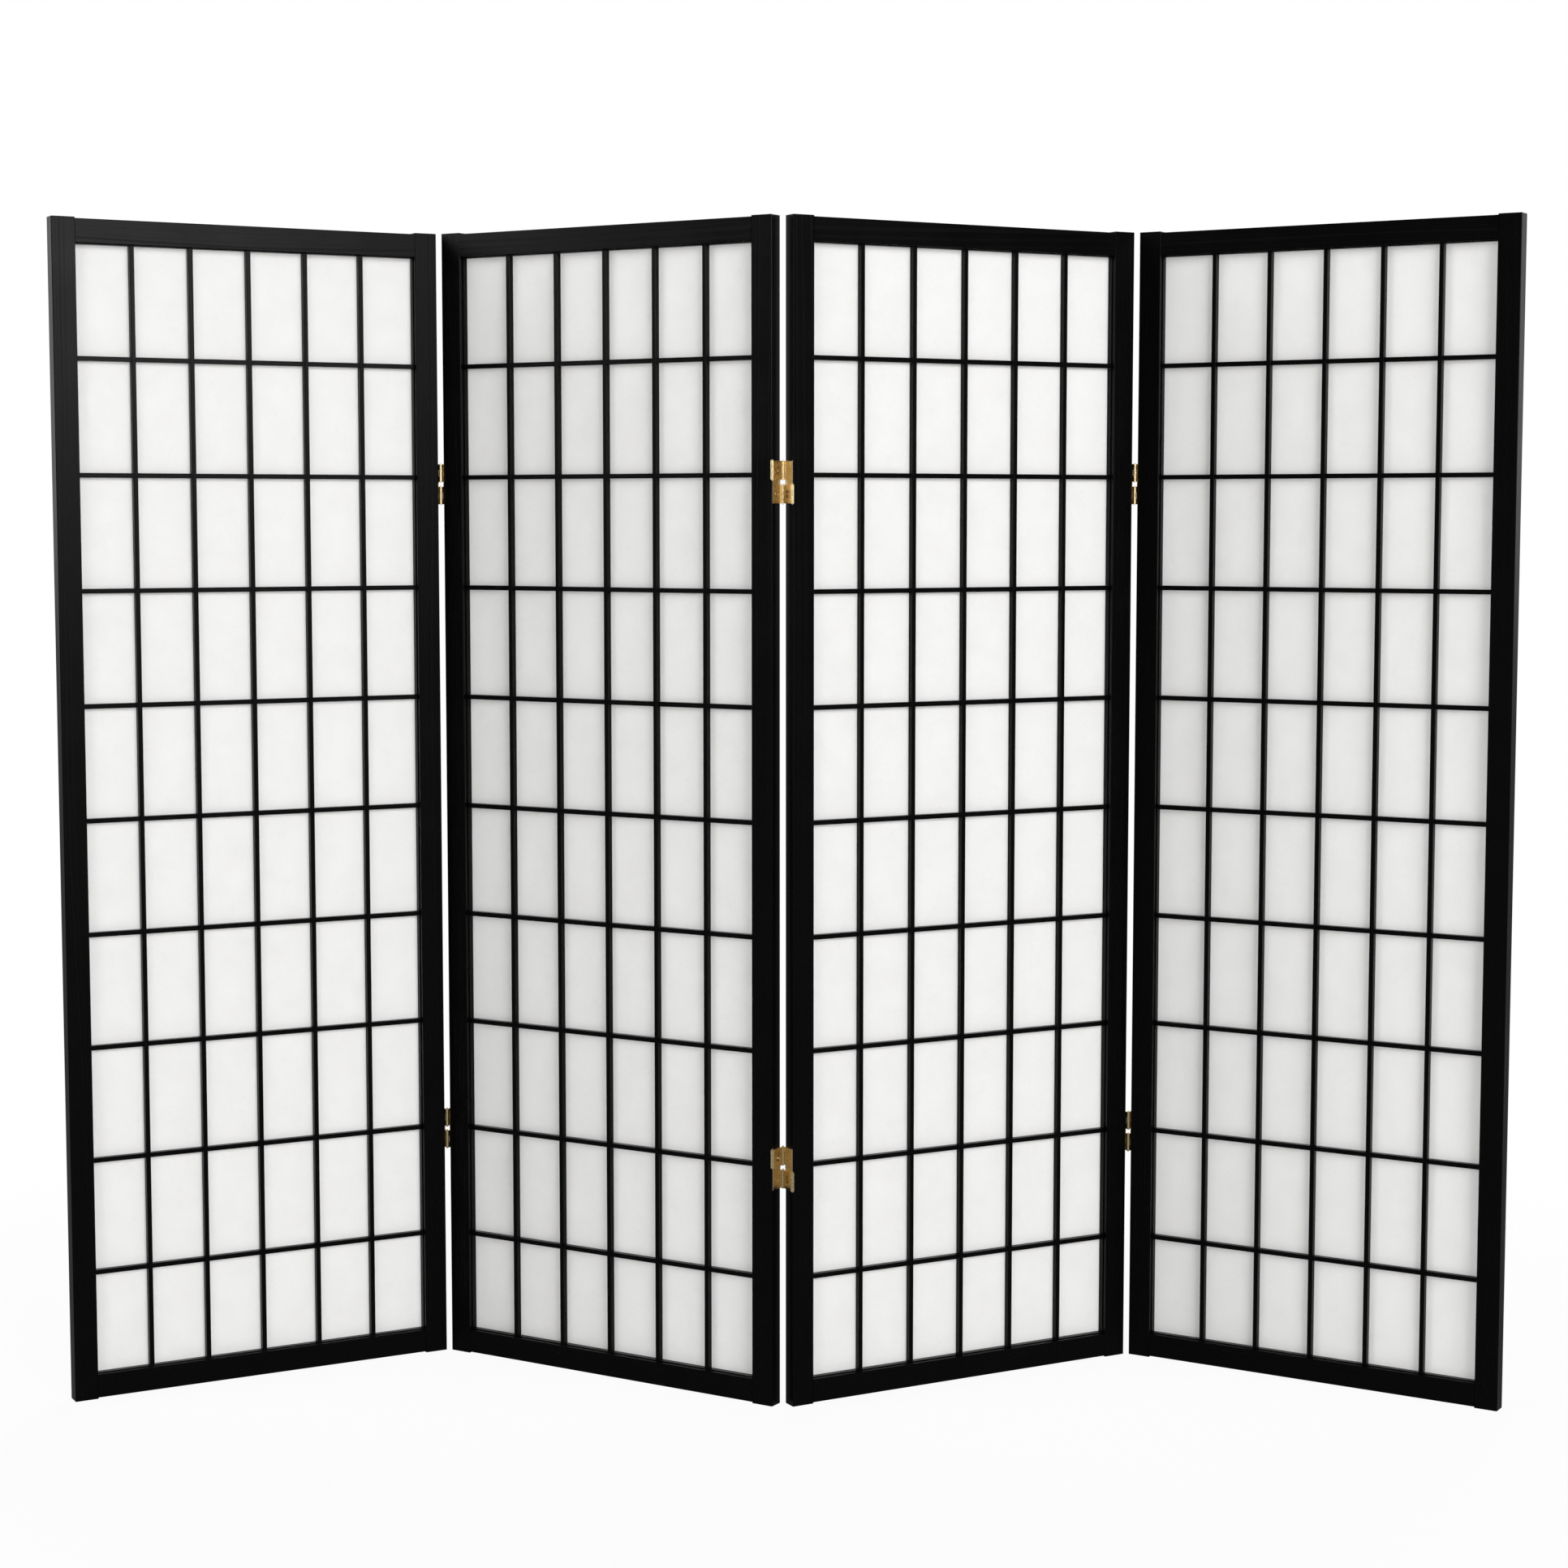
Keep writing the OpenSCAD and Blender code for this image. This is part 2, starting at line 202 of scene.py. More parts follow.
class Wire:
    """One output of a shader tree. Sums on wires add Math nodes."""

    def __init__(self, finish, socket):
        self.finish = finish
        self.socket = socket

    def math(self, operation, *terms):
        """A Math node over terms, which are wires or numbers."""
        return self.finish.add("ShaderNodeMath", {"operation": operation}, dict(enumerate(terms)))

    def __add__(self, other):
        return self.math("ADD", self, other)

    def __radd__(self, other):
        return self.math("ADD", other, self)

    def __sub__(self, other):
        return self.math("SUBTRACT", self, other)

    def __rsub__(self, other):
        return self.math("SUBTRACT", other, self)

    def __mul__(self, other):
        return self.math("MULTIPLY", self, other)

    def __rmul__(self, other):
        return self.math("MULTIPLY", other, self)

    def __truediv__(self, other):
        return self.math("DIVIDE", self, other)

    def __rtruediv__(self, other):
        return self.math("DIVIDE", other, self)

    def __abs__(self):
        return self.math("ABSOLUTE", self)

    def most(self, other):
        """The larger of this wire and another."""
        return self.math("MAXIMUM", self, other)

    def least(self, other):
        """The smaller of this wire and another."""
        return self.math("MINIMUM", self, other)


class Finish:
    """A shader tree that grows node by node."""

    def __init__(self, owner):
        owner.use_nodes = True
        self.owner = owner
        self.nodes = owner.node_tree.nodes
        self.links = owner.node_tree.links
        self.nodes.clear()

    def add(self, kind, settings=None, sockets=None, output=0):
        """A node of this kind: its settings are set first, then its sockets get values or links."""
        node = self.nodes.new(kind)
        for name, setting in (settings or {}).items():
            setattr(node, name, setting)
        for key, value in (sockets or {}).items():
            if isinstance(value, Wire):
                self.links.new(value.socket, node.inputs[key])
            else:
                node.inputs[key].default_value = value
        return Wire(self, node.outputs[output]) if node.outputs else None

    def panel_place(self, turn):
        """Object coordinates turned into a panel's own axes: across it, to its back, and up."""
        place = self.add("ShaderNodeTexCoord", output="Object")
        return self.add("ShaderNodeMapping", {}, {"Vector": place, "Rotation": (0, 0, -turn)})

    def split(self, vector):
        """The three numbers of a vector."""
        first = self.add("ShaderNodeSeparateXYZ", {}, {"Vector": vector})
        outputs = first.socket.node.outputs
        return [Wire(self, socket) for socket in outputs]

    def scaled(self, vector, scale):
        """A vector with each of its numbers multiplied."""
        return self.add("ShaderNodeVectorMath", {"operation": "MULTIPLY"}, {0: vector, 1: scale})

    def noise(self, vector, scale, detail=2.0):
        """Soft noise about one half, with its size along each axis set by scale."""
        sockets = {"Vector": self.scaled(vector, scale), "Scale": 1.0, "Detail": detail}
        return self.add("ShaderNodeTexNoise", {}, sockets, "Fac")

    def even_noise(self, vector, scale, detail=2.0):
        """Soft noise about one half, of one size along every axis."""
        return self.noise(vector, (scale, scale, scale), detail)

    def blend(self, share, first, second):
        """A colour between two colours."""
        ends = {0: share, 6: first, 7: second}
        return self.add("ShaderNodeMix", {"data_type": "RGBA", "clamp_factor": True}, ends, 2)

    def mix_shader(self, share, first, second):
        """A shader between two shaders."""
        return self.add("ShaderNodeMixShader", {}, {0: share, 1: first, 2: second})

    def bump(self, height, distance):
        """A normal that follows a height from 0 to 1, spread over a distance."""
        sockets = {"Height": height, "Distance": distance, "Strength": 1.0}
        return self.add("ShaderNodeBump", {}, sockets)

    def show(self, shader):
        """Puts a shader on the surface, or on the world."""
        is_world = isinstance(self.owner, bpy.types.World)
        kind = "ShaderNodeOutputWorld" if is_world else "ShaderNodeOutputMaterial"
        self.add(kind, {}, {"Surface": shader})


def opaque(colour):
    """A colour setting with its alpha."""
    return (*colour, 1.0)


# Finishes


def lacquer(name, turn, upright, look):
    """Black lacquer over wood. Across the piece the grain is noise along a line, so its spacing varies, and
    slow noise along the piece bends it."""
    finish = Finish(bpy.data.materials.new(name))
    place = finish.panel_place(turn)
    across, depth, up = finish.split(place)
    slow, fine = (9.0, 9.0, 1.3), (900.0, 900.0, 22.0)
    ring_lean, grain_contrast = 0.4, 4
    grain_depth, pore_depth = 0.7, 0.3
    grain_dulling, patch_dulling = 0.10, 0.10
    if not upright:
        across = up
        slow, fine = slow[::-1], fine[::-1]
    wander = finish.noise(place, slow, 1.5) - 0.5
    ring = (across + depth * ring_lean + wander * look.wander * 2) / look.ring_pitch
    line = {"W": ring, "Scale": 1.0, "Detail": 2.0}
    bands = finish.add("ShaderNodeTexNoise", {"noise_dimensions": "1D"}, line, "Fac")
    late = ((bands - 0.5) * grain_contrast).most(0).least(1)
    pores = finish.noise(place, fine, 1.0)
    patch = finish.even_noise(place, 25.0)
    bump = finish.bump(1 - late * grain_depth - pores * pore_depth, look.relief)
    sockets = {
        "Base Color": finish.blend(late, opaque(look.colour), opaque(look.grain_colour)),
        "Roughness": look.roughness + late * grain_dulling + (patch - 0.5) * patch_dulling,
        "IOR": look.gloss,
        "Normal": bump,
    }
    finish.show(finish.add("ShaderNodeBsdfPrincipled", {}, sockets))
    return finish.owner


def paper(name, turn, look):
    """Paper with scattered fibres. A fibre is the thin crest where stretched noise passes through one half,
    and it shows only in some patches. Part of the light goes through each face of the sheet."""
    finish = Finish(bpy.data.materials.new(name))
    place = finish.panel_place(turn)
    cloud = finish.even_noise(place, 38.0)
    fleck = finish.even_noise(place, 420.0)
    patch = finish.even_noise(place, 130.0, 1.0)
    fibre_stretch, fibre_thinness, patch_contrast = 5, 34, 6
    cloud_floor, fleck_floor = 0.35, 0.4
    cloud_share, fleck_share, fibre_share = 0.55, 0.45, 0.16
    relief = 0.00005
    fibres = None
    for lean, pitch in ((0.5, 95.0), (-0.9, 115.0)):
        leaning = finish.add("ShaderNodeMapping", {}, {"Vector": place, "Rotation": (0, lean, 0)})
        strand = finish.noise(leaning, (pitch, 1.0, pitch / fibre_stretch), 1.0)
        crest = (1 - abs(strand - 0.5) * fibre_thinness).most(0)
        fibres = crest if fibres is None else fibres.most(crest)
    fibres = fibres * ((patch - 0.5) * patch_contrast).most(0).least(1)
    clouding = (cloud - cloud_floor) * cloud_share
    flecking = (fleck - fleck_floor) * fleck_share
    share = clouding + flecking + fibres * fibre_share
    colour = finish.blend(share, opaque(look.colour), opaque(look.fibre_colour))
    bump = finish.bump(fleck, relief)
    sheet = {"Base Color": colour, "Roughness": 0.92, "Specular IOR Level": 0.15, "Normal": bump}
    front = finish.add("ShaderNodeBsdfPrincipled", {}, sheet)
    through = finish.add("ShaderNodeBsdfTranslucent", {}, {"Color": opaque(look.colour)})
    finish.show(finish.mix_shader(look.glow, front, through))
    return finish.owner


def brass(name, colour, look):
    """Rolled brass: clean metal that dulls in patches, with fine upright rolling marks."""
    finish = Finish(bpy.data.materials.new(name))
    place = finish.add("ShaderNodeTexCoord", output="Object")
    patch = finish.noise(place, (140.0, 140.0, 90.0), 3.0)
    mark = finish.noise(place, (2600.0, 2600.0, 70.0), 1.0)
    speck = finish.even_noise(place, 900.0)
    patch_floor, patch_contrast, speck_contrast = 0.45, 1.2, 0.3
    dull = ((patch - patch_floor) * patch_contrast + (speck - 0.5) * speck_contrast).most(0).least(1)
    patch_dulling, mark_dulling = 0.10, 0.08
    mark_depth, speck_depth, relief = 0.8, 0.2, 0.000008
    sockets = {
        "Base Color": finish.blend(dull, opaque(colour), opaque(look.dull_colour)),
        "Metallic": 1.0,
        "Roughness": look.roughness + dull * patch_dulling + (mark - 0.5) * mark_dulling,
        "Normal": finish.bump(mark * mark_depth + speck * speck_depth, relief),
    }
    finish.show(finish.add("ShaderNodeBsdfPrincipled", {}, sockets))
    return finish.owner


def dress(node, material):
    """Gives a frame node its finish."""
    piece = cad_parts[node]
    piece.data.materials.clear()
    piece.data.materials.append(material)


# Shapes


def node_points(node):
    """The corners of a frame node, one row each, in metres."""
    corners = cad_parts[node].data.vertices
    points = np.empty(3 * len(corners), np.float32)
    corners.foreach_get("co", points)
    return points.reshape(-1, 3).astype(float)


class PanelAxes:
    """A panel's own axes: across it, from its front to its back, and up. Its stiles' middles give its
    turn."""

    def __init__(self, panel):
        stiles = (f"panel_{panel}_left_stile", f"panel_{panel}_right_stile")
        left, right = (sum(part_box(stile), Vector()) / 2 for stile in stiles)
        across = (right - left).normalized()
        self.turn = math.atan2(across.y, across.x)
        self.middle = (left + right).dot(across) / 2
        self.rows = np.array([across, (-across.y, across.x, 0), (0, 0, 1)])

    def local(self, points):
        """Points of the frame in the panel's axes."""
        return points @ self.rows.T

    def placed(self, points):
        """Points in the panel's axes back in the frame."""
        return points @ self.rows


def runs(values, gap):
    """The lowest and highest value of each run of numbers, where runs lie more than a gap apart."""
    ordered = np.unique(values)
    breaks = np.flatnonzero(np.diff(ordered) > gap) + 1
    return np.array([(run[0], run[-1]) for run in np.split(ordered, breaks)])


def grid_quads(rows, columns, closed):
    """Quads between neighbours of a grid of points. A closed grid joins its last column to its first."""
    index = np.arange(rows * columns).reshape(rows, columns)
    if closed:
        index = np.hstack([index, index[:, :1]])
    corners = (index[:-1, :-1], index[:-1, 1:], index[1:, 1:], index[1:, :-1])
    return np.stack(corners, -1).reshape(-1, 4)


def add_piece(name, points, faces, material, body, node, crease):
    """A new mesh in place of a frame node, smooth but for edges sharper than the crease."""
    mesh = bpy.data.meshes.new(name)
    mesh.from_pydata(points, [], faces)
    mesh.materials.append(material)
    mesh.shade_smooth()
    mesh.set_sharp_from_angle(angle=crease)
    mesh.validate()
    piece = bpy.data.objects.new(name, mesh)
    bpy.context.scene.collection.objects.link(piece)
    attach(piece, body)
    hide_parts(node)


def joined(shapes):
    """Several shapes, each its points and faces, as one list of points and one of faces."""
    points, faces, start = [], [], 0
    for shape_points, shape_faces in shapes:
        points.append(shape_points)
        faces += [[corner + start for corner in face] for face in shape_faces]
        start += len(shape_points)
    return np.vstack(points), faces


def turned(radii, heights):
    """A closed surface about the height axis. Radii and heights are arrays of rings by angles, and the
    surface runs through (radius cos angle, radius sin angle, height). The first and the last ring shrink to
    poles at their mean heights."""
    rings, sides = radii.shape
    angles = np.arange(sides) * WHOLE_TURN / sides
    ring_points = np.stack([radii * np.cos(angles), radii * np.sin(angles), heights], -1)[1:-1]
    poles = np.array([(0, 0, heights[0].mean()), (0, 0, heights[-1].mean())])
    points = np.vstack([ring_points.reshape(-1, 3), poles])
    faces = grid_quads(rings - 2, sides, True).tolist()
    first = np.arange(sides)
    last = first + (rings - 3) * sides
    low, high = len(points) - 2, len(points) - 1
    faces += np.stack([np.roll(first, -1), first, np.full(sides, low)], -1).tolist()
    faces += np.stack([last, np.roll(last, -1), np.full(sides, high)], -1).tolist()
    return points, faces


def pane_steps(edges, bars, steps):
    """Stations across a sheet: its two edges and even steps in each pane between bars. Gives the stations,
    how far each lies through its pane from 0 to 1, and the pane's number. At the sheet's edges the share is
    0."""
    panes = np.stack([bars[:-1, 1], bars[1:, 0]], -1)
    shares = np.linspace(0, 1, steps + 1)
    inner = panes[:, :1] + (panes[:, 1:] - panes[:, :1]) * shares
    stations = np.concatenate([[edges[0]], inner.ravel(), [edges[1]]])
    through = np.concatenate([[0], np.tile(shares, len(panes)), [0]])
    number = np.concatenate([[0], np.repeat(np.arange(len(panes)), steps + 1), [len(panes) - 1]])
    return stations, through, number


def paper_sheet(panel, axes, look):
    """A thin closed sheet, glued flat on the bars and bellied in each pane. Its face stands off by
    sin(pi a) * sin(pi b) * (drum * amount + ripple * waves), where a and b run from 0 to 1 across and up a
    pane. The amount is the sine of a sum of steps that differs from pane to pane, and the waves are a product
    of two sines over the sheet."""
    sheet = axes.local(node_points(f"panel_{panel}_paper"))
    uprights = axes.local(node_points(f"panel_{panel}_upright_bars"))
    crosses = axes.local(node_points(f"panel_{panel}_cross_bars"))
    (left, front, bottom), (right, back, top) = sheet.min(0), sheet.max(0)
    bar_gap = 10 * MILLIMETRE
    x, a, column = pane_steps((left, right), runs(uprights[:, 0], bar_gap), look.pane_steps)
    z, b, row = pane_steps((bottom, top), runs(crosses[:, 2], bar_gap), 2 * look.pane_steps)
    crown = np.outer(np.sin(np.pi * b), np.sin(np.pi * a))
    column_step, row_step, panel_step = 2.4, 3.7, 1.9
    amount = np.sin(column_step * column[None, :] + row_step * row[:, None] + panel_step * panel)
    wave_numbers = ((190, 60), (-45, 110))
    first, second = (np.sin(sideways * x[None, :] + upward * z[:, None]) for sideways, upward in wave_numbers)
    waves = first * second
    stand = crown * (look.drum * amount + look.ripple * waves)
    across, up = np.meshgrid(x, z)
    rows, columns = across.shape
    sides = [np.stack([across, stand + depth, up], -1).reshape(-1, 3) for depth in (front, back)]
    quads = grid_quads(rows, columns, False)
    index = np.arange(rows * columns).reshape(rows, columns)
    rim = np.concatenate([index[0, :-1], index[:-1, -1], index[-1, :0:-1], index[:0:-1, 0]])
    far = rows * columns
    band = np.stack([np.roll(rim, -1), rim, rim + far, np.roll(rim, -1) + far], -1)
    faces = np.vstack([quads, quads[:, ::-1] + far, band])
    return axes.placed(np.vstack(sides)), faces.tolist()


def pin_shape(box_low, box_high, sides=32, dome_steps=5):
    """A hinge pin with domed ends: radius r cos t and height h + d sin t over each end, for t from 0 to a
    quarter turn, where d is the dome's rise."""
    dome_share = 0.45
    middle = (box_low + box_high) / 2
    radius = (box_high[0] - box_low[0]) / 2
    rise = radius * dome_share
    t = np.linspace(0, math.pi / 2, dome_steps)
    end_radii = radius * np.cos(t)
    end_heights = box_high[2] - middle[2] - rise + rise * np.sin(t)
    radii = np.concatenate([end_radii[::-1], end_radii])
    heights = np.concatenate([-end_heights[::-1], end_heights])
    spread = np.ones(sides)
    points, faces = turned(np.outer(radii, spread), np.outer(heights, spread))
    return points + middle, faces


def screw_shape(box_low, box_high, outward, look, sides=48, turn_steps=9):
    """A countersunk wood screw. Below the head its radius is shank - depth * |2 f - 1| with f the fraction
    of (height / pitch + angle / turn), which draws the thread. The recess is a cross whose edge at an angle t
    from an arm lies at min(length / (2 cos t), width / (2 sin t)) from the middle."""
    point = 3 * MILLIMETRE
    neck = 2 * MILLIMETRE
    rim = 0.12 * MILLIMETRE
    deepest_share = 0.4
    wall_share, floor_share, wall_depth_share = 0.72, 0.35, 0.8
    smallest_sine = 0.01
    middle = (box_low + box_high) / 2
    length = box_high[0] - box_low[0]
    head = (box_high[1] - box_low[1]) / 2
    shank = look.shank / 2
    cone = head - shank
    angles = np.arange(sides) * WHOLE_TURN / sides
    spread = np.ones(sides)
    thread_top = -cone - neck
    turns = (thread_top + length) / look.thread_pitch
    levels = np.linspace(-length, thread_top, round(turns * turn_steps))[:, None]
    core = shank * np.clip((levels + length) / point, 0, 1)
    fraction = np.mod(levels / look.thread_pitch + angles / WHOLE_TURN, 1)
    fade = np.clip((thread_top - levels) / look.thread_pitch, 0, 1)
    depth = np.minimum(look.thread_depth, core * deepest_share)
    thread = core - depth * np.abs(2 * fraction - 1) * fade
    arm = np.abs(np.mod(angles + WHOLE_TURN / 8, WHOLE_TURN / 4) - WHOLE_TURN / 8)
    arm_end = look.recess_length / 2 / np.cos(arm)
    arm_side = look.recess_width / 2 / np.maximum(np.sin(arm), smallest_sine)
    edge = np.minimum(arm_end, arm_side)
    upper = [
        (shank * spread, -cone * spread),
        (head * spread, -rim * spread),
        ((head - rim) * spread, 0 * spread),
        ((edge + head - rim) / 2, 0 * spread),
        (edge, 0 * spread),
        (edge * wall_share, -look.recess_depth * wall_depth_share * spread),
        (edge * floor_share, -look.recess_depth * spread),
        (0 * spread, -look.recess_depth * spread),
    ]
    radii = np.vstack([thread] + [radius for radius, _ in upper])
    heights = np.vstack([np.broadcast_to(levels, thread.shape)] + [height for _, height in upper])
    points, faces = turned(radii, heights)
    top = np.array([box_high[0] if outward > 0 else box_low[0], middle[1], middle[2]])
    axis_x, axis_y, axis_z = points.T
    return np.stack([outward * axis_z, outward * axis_y, axis_x], -1) + top, faces


def each_fastener(node, axes):
    """The low and high corner of each pin or screw of a panel, and its edge: -1 left, 1 right."""
    points = axes.local(node_points(node))
    for side in (-1, 1):
        edge = points[side * (points[:, 0] - axes.middle) > 0]
        if len(edge) == 0:
            continue
        for low, high in runs(edge[:, 2], MILLIMETRE):
            one = edge[(edge[:, 2] >= low) & (edge[:, 2] <= high)]
            yield one.min(0), one.max(0), side


# Operators


class SHOJI_OT_dress_frame(bpy.types.Operator):
    """Lacquer the stiles and rails, with the grain along each of them"""

    bl_idname = "shoji.dress_frame"
    bl_label = "Stiles and rails"

    def execute(self, context):
        look = context.scene.shoji_lacquer
        for panel in PANELS:
            turn = PanelAxes(panel).turn
            stile = lacquer(f"stile_lacquer_{panel}", turn, True, look)
            rail = lacquer(f"rail_lacquer_{panel}", turn, False, look)
            for side in ("left", "right"):
                dress(f"panel_{panel}_{side}_stile", stile)
            for end in ("top", "bottom"):
                dress(f"panel_{panel}_{end}_rail", rail)
        return {"FINISHED"}


class SHOJI_OT_dress_lattice(bpy.types.Operator):
    """Lacquer the lattice bars, with the grain along each of them"""

    bl_idname = "shoji.dress_lattice"
    bl_label = "Lattice"

    def execute(self, context):
        look = context.scene.shoji_lacquer
        for panel in PANELS:
            turn = PanelAxes(panel).turn
            upright = lacquer(f"upright_bar_lacquer_{panel}", turn, True, look)
            cross = lacquer(f"cross_bar_lacquer_{panel}", turn, False, look)
            dress(f"panel_{panel}_upright_bars", upright)
            dress(f"panel_{panel}_cross_bars", cross)
        return {"FINISHED"}


class SHOJI_OT_hang_paper(bpy.types.Operator):
    """Glue a sheet of paper to the back of each lattice"""

    bl_idname = "shoji.hang_paper"
    bl_label = "Paper"

    def execute(self, context):
        look = context.scene.shoji_paper
        crease = math.radians(40)
        for panel in PANELS:
            axes = PanelAxes(panel)
            points, faces = paper_sheet(panel, axes, look)
            material = paper(f"washi_{panel}", axes.turn, look)
            body, node = f"panel_{panel}", f"panel_{panel}_paper"
            add_piece(f"paper_sheet_{panel}", points, faces, material, body, node, crease)
        return {"FINISHED"}


class SHOJI_OT_dress_hinges(bpy.types.Operator):
    """Give the hinge leaves and links their brass"""

    bl_idname = "shoji.dress_hinges"
    bl_label = "Hinges"

    def execute(self, context):
        look = context.scene.shoji_brass
        material = brass("hinge_brass", look.colour, look)
        for fold in FOLDS:
            for level in LEVELS:
                for part in ("left_leaf", "right_leaf", "top_link", "bottom_link"):
                    dress(f"hinge_{fold}_{level}_{part}", material)
        return {"FINISHED"}


class SHOJI_OT_fit_pins(bpy.types.Operator):
    """Fit domed pins in the hinge barrels"""

    bl_idname = "shoji.fit_pins"
    bl_label = "Hinge pins"

    def execute(self, context):
        look = context.scene.shoji_brass
        material = brass("pin_brass", look.colour, look)
        crease = math.radians(50)
        for panel in PANELS:
            axes = PanelAxes(panel)
            body, node = f"panel_{panel}", f"panel_{panel}_hinge_pins"
            shapes = [pin_shape(low, high) for low, high, _ in each_fastener(node, axes)]
            points, faces = joined(shapes)
            placed = axes.placed(points)
            add_piece(f"hinge_pins_{panel}", placed, faces, material, body, node, crease)
        return {"FINISHED"}


class SHOJI_OT_fit_screws(bpy.types.Operator):
    """Fit threaded screws in the hinge leaves"""

    bl_idname = "shoji.fit_screws"
    bl_label = "Hinge screws"

    def execute(self, context):
        look = context.scene.shoji_brass
        material = brass("screw_brass", look.screw_colour, look)
        crease = math.radians(35)
        for panel in PANELS:
            axes = PanelAxes(panel)
            body, node = f"panel_{panel}", f"panel_{panel}_hinge_screws"
            shapes = [screw_shape(low, high, side, look) for low, high, side in each_fastener(node, axes)]
            points, faces = joined(shapes)
            placed = axes.placed(points)
            add_piece(f"hinge_screws_{panel}", placed, faces, material, body, node, crease)
        return {"FINISHED"}


def ray_kinds(finish):
    """Two wires: one is 1 for rays straight from the camera or through glass, the other for rays in gloss."""
    path = finish.add("ShaderNodeLightPath").socket.node.outputs
    camera, glossy, through = (
        Wire(finish, path[name]) for name in ("Is Camera Ray", "Is Glossy Ray", "Is Transmission Ray")
    )
    return camera.most(through), glossy


def floor_finish(look):
    """A pale floor that is white to the eye and keeps the screen's shadow near it."""
    finish = Finish(bpy.data.materials.new("floor"))
    place = finish.add("ShaderNodeTexCoord", output="Object")
    distance = finish.add("ShaderNodeVectorMath", {"operation": "LENGTH"}, {0: place}, "Value")
    reach, fade = 0.7, 0.8
    near = (1 - (distance - reach) / fade).most(0).least(1)
    straight, glossy = ray_kinds(finish)
    plain = finish.add("ShaderNodeBsdfDiffuse", {}, {"Color": opaque(look.floor_colour)})
    white = finish.add("ShaderNodeEmission", {}, {"Color": WHITE, "Strength": 1.0})
    dim = finish.add("ShaderNodeEmission", {}, {"Color": WHITE, "Strength": look.floor_gloss})
    seen = finish.mix_shader(straight * (1 - near * look.shadow_share), plain, white)
    finish.show(finish.mix_shader(glossy, seen, dim))
    return finish.owner


def studio_sky(look):
    """Even light all round. The eye sees it white, and gloss sees a white backdrop behind and a dim room in
    front."""
    world = bpy.data.worlds.new("studio")
    finish = Finish(world)
    direction = finish.add("ShaderNodeTexCoord", output="Generated")
    behind = finish.split(direction)[1]
    backdrop_edge = 2
    backdrop = (behind * backdrop_edge).most(0).least(1)
    straight, glossy = ray_kinds(finish)
    sky, room, white = (
        finish.add("ShaderNodeBackground", {}, {"Color": WHITE, "Strength": strength})
        for strength in (look.sky, look.room_gloss, 1.0)
    )
    lit = finish.mix_shader(glossy, sky, finish.mix_shader(backdrop, room, white))
    finish.show(finish.mix_shader(straight, lit, white))
    return world


def area_light(name, azimuth, elevation, size, power, target):
    """A rectangular lamp that faces a target. Azimuth is from the front towards the right, in degrees."""
    lamp = bpy.data.lights.new(name, "AREA")
    lamp.shape = "RECTANGLE"
    lamp.size, lamp.size_y = size
    lamp.energy = power
    turn, rise = math.radians(azimuth), math.radians(elevation)
    level = math.cos(rise)
    direction = Vector((math.sin(turn) * level, -math.cos(turn) * level, math.sin(rise)))
    light = bpy.data.objects.new(name, lamp)
    light.location = target + direction * LAMP_DISTANCE
    light.rotation_euler = direction.to_track_quat("Z", "Y").to_euler()
    bpy.context.scene.collection.objects.link(light)


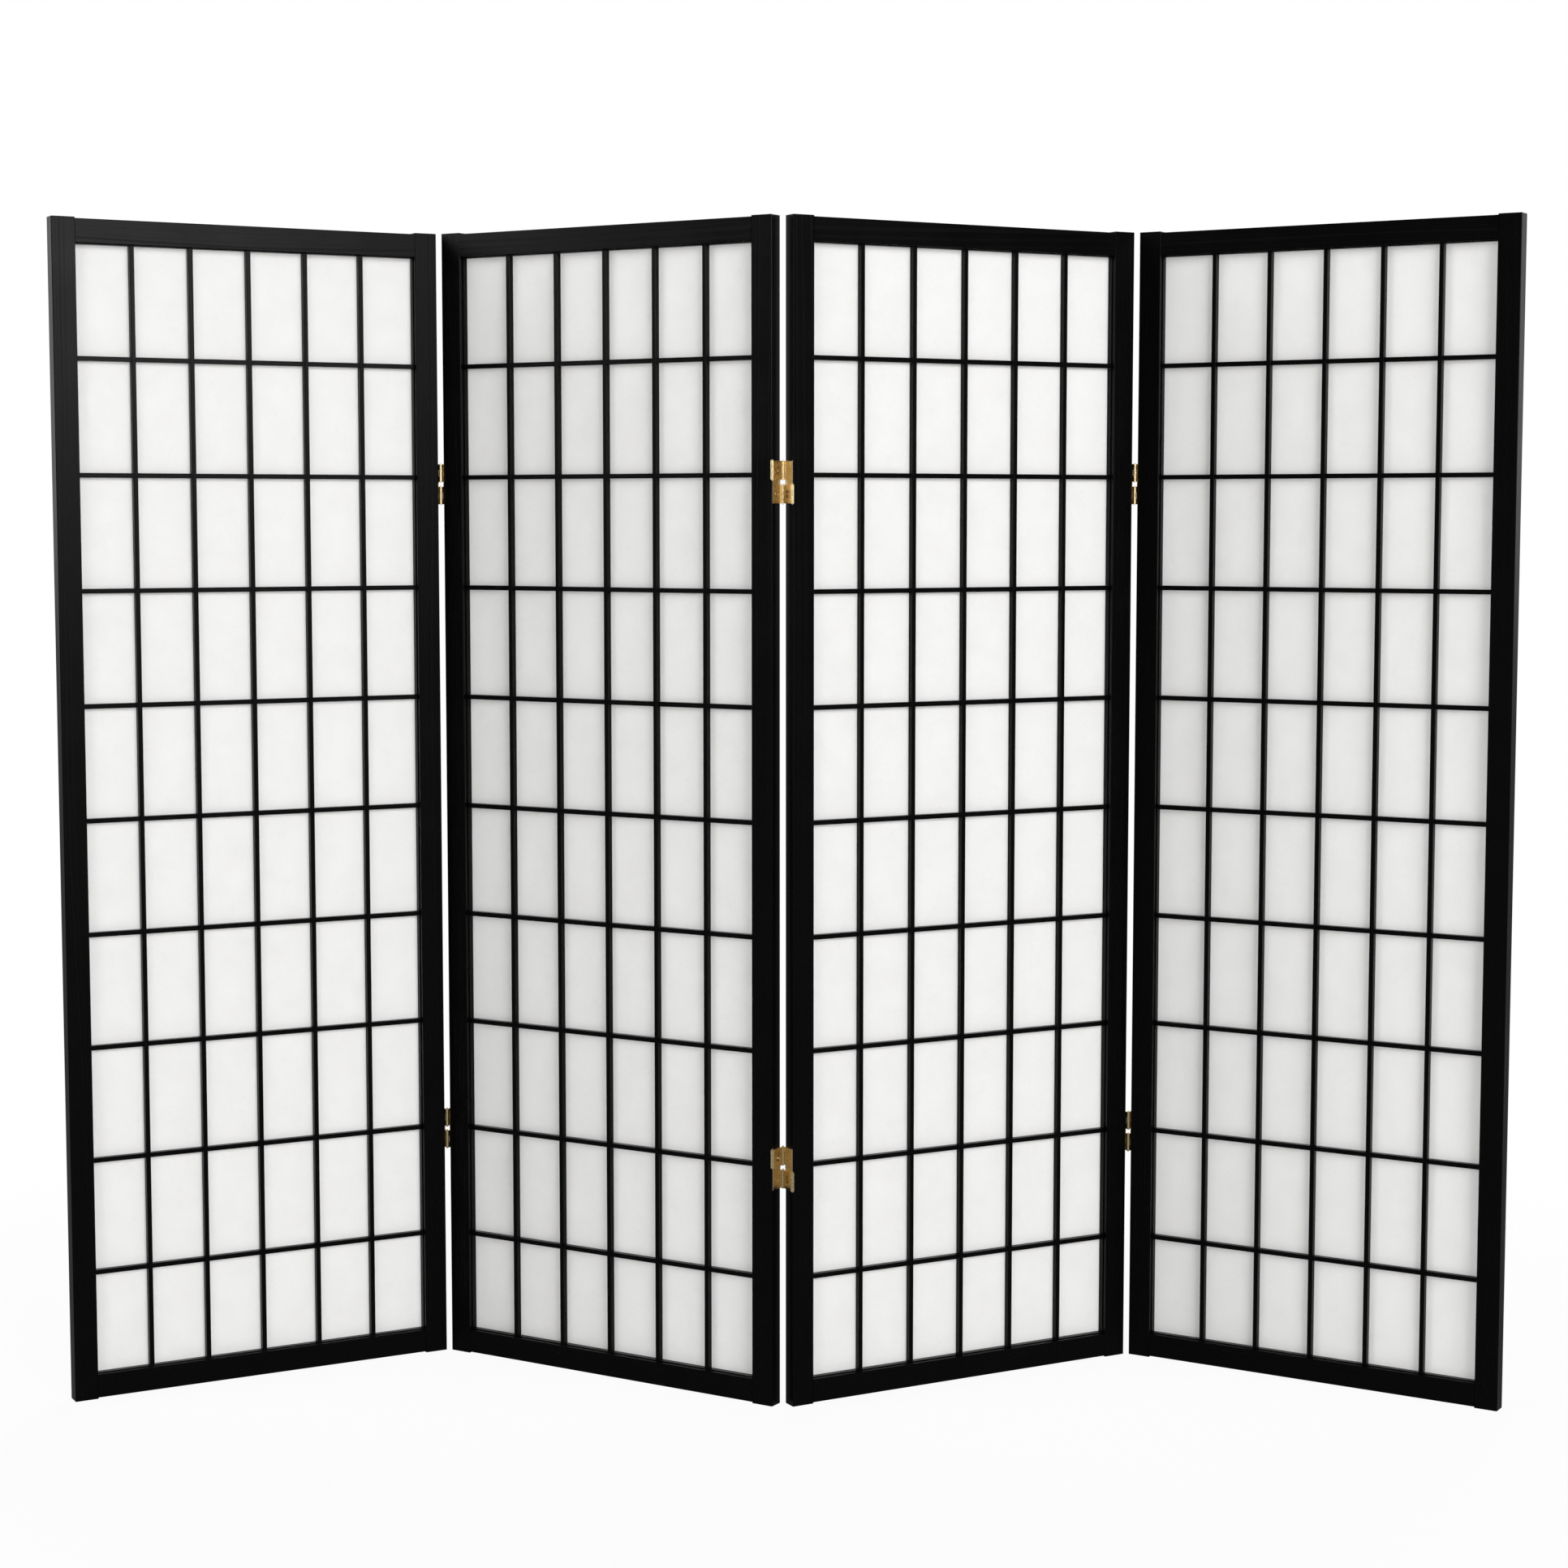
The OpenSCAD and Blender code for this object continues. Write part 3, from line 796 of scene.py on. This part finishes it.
class SHOJI_OT_build_stage(bpy.types.Operator):
    """Set the screen on a white floor with soft light, and aim the camera"""

    bl_idname = "shoji.build_stage"
    bl_label = "Stage"

    def execute(self, context):
        look = context.scene.shoji_stage
        scene = context.scene
        half = look.floor_size / 2
        mesh = bpy.data.meshes.new("floor")
        corners = [(-half, -half, 0), (half, -half, 0), (half, half, 0), (-half, half, 0)]
        mesh.from_pydata(corners, [], [(0, 1, 2, 3)])
        mesh.materials.append(floor_finish(look))
        floor = bpy.data.objects.new("floor", mesh)
        scene.collection.objects.link(floor)
        floor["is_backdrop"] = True

        scene.world = studio_sky(look)

        middle = (cad_box[0] + cad_box[1]) / 2
        for name, (azimuth, elevation, size) in LAMPS.items():
            area_light(name, azimuth, elevation, size, getattr(look, name), middle)

        camera = bpy.data.objects.new("camera", bpy.data.cameras.new("camera"))
        camera.location = look.eye
        camera.rotation_euler = (math.pi / 2 + look.pitch, 0, look.yaw)
        camera.data.lens = look.lens
        scene.collection.objects.link(camera)
        scene.camera = camera
        scene.view_settings.view_transform = "Standard"
        return {"FINISHED"}


class SHOJI_PT_screen(bpy.types.Panel):
    """The steps that dress the screen, in order"""

    bl_idname = "SHOJI_PT_screen"
    bl_label = "Folding shoji screen"
    bl_space_type = "VIEW_3D"
    bl_region_type = "UI"
    bl_category = "Shoji"

    def draw(self, context):
        column = self.layout.column()
        for step in STEPS:
            column.operator(step.bl_idname)


GROUPS = {
    "shoji_lacquer": ShojiLacquer,
    "shoji_paper": ShojiPaper,
    "shoji_brass": ShojiBrass,
    "shoji_stage": ShojiStage,
}
STEPS = (
    SHOJI_OT_dress_frame,
    SHOJI_OT_dress_lattice,
    SHOJI_OT_hang_paper,
    SHOJI_OT_dress_hinges,
    SHOJI_OT_fit_pins,
    SHOJI_OT_fit_screws,
    SHOJI_OT_build_stage,
)


def register():
    for group in (*GROUPS.values(), *STEPS, SHOJI_PT_screen):
        bpy.utils.register_class(group)
    for name, group in GROUPS.items():
        setattr(bpy.types.Scene, name, PointerProperty(type=group))


def unregister():
    for name in GROUPS:
        delattr(bpy.types.Scene, name)
    for group in (SHOJI_PT_screen, *reversed(STEPS), *reversed(GROUPS.values())):
        bpy.utils.unregister_class(group)


def main():
    """Dresses the screen and works out its box before and after."""
    register()
    bpy.ops.shoji.dress_frame()
    bpy.ops.shoji.dress_lattice()
    bpy.ops.shoji.hang_paper()
    bpy.ops.shoji.dress_hinges()
    bpy.ops.shoji.fit_pins()
    bpy.ops.shoji.fit_screws()
    bpy.ops.shoji.build_stage()
    sizes = {"cad": cad_box, "visual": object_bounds()}
    {name: [list(corner) for corner in box] for name, box in sizes.items()}


if __name__ == "__main__":
    main()
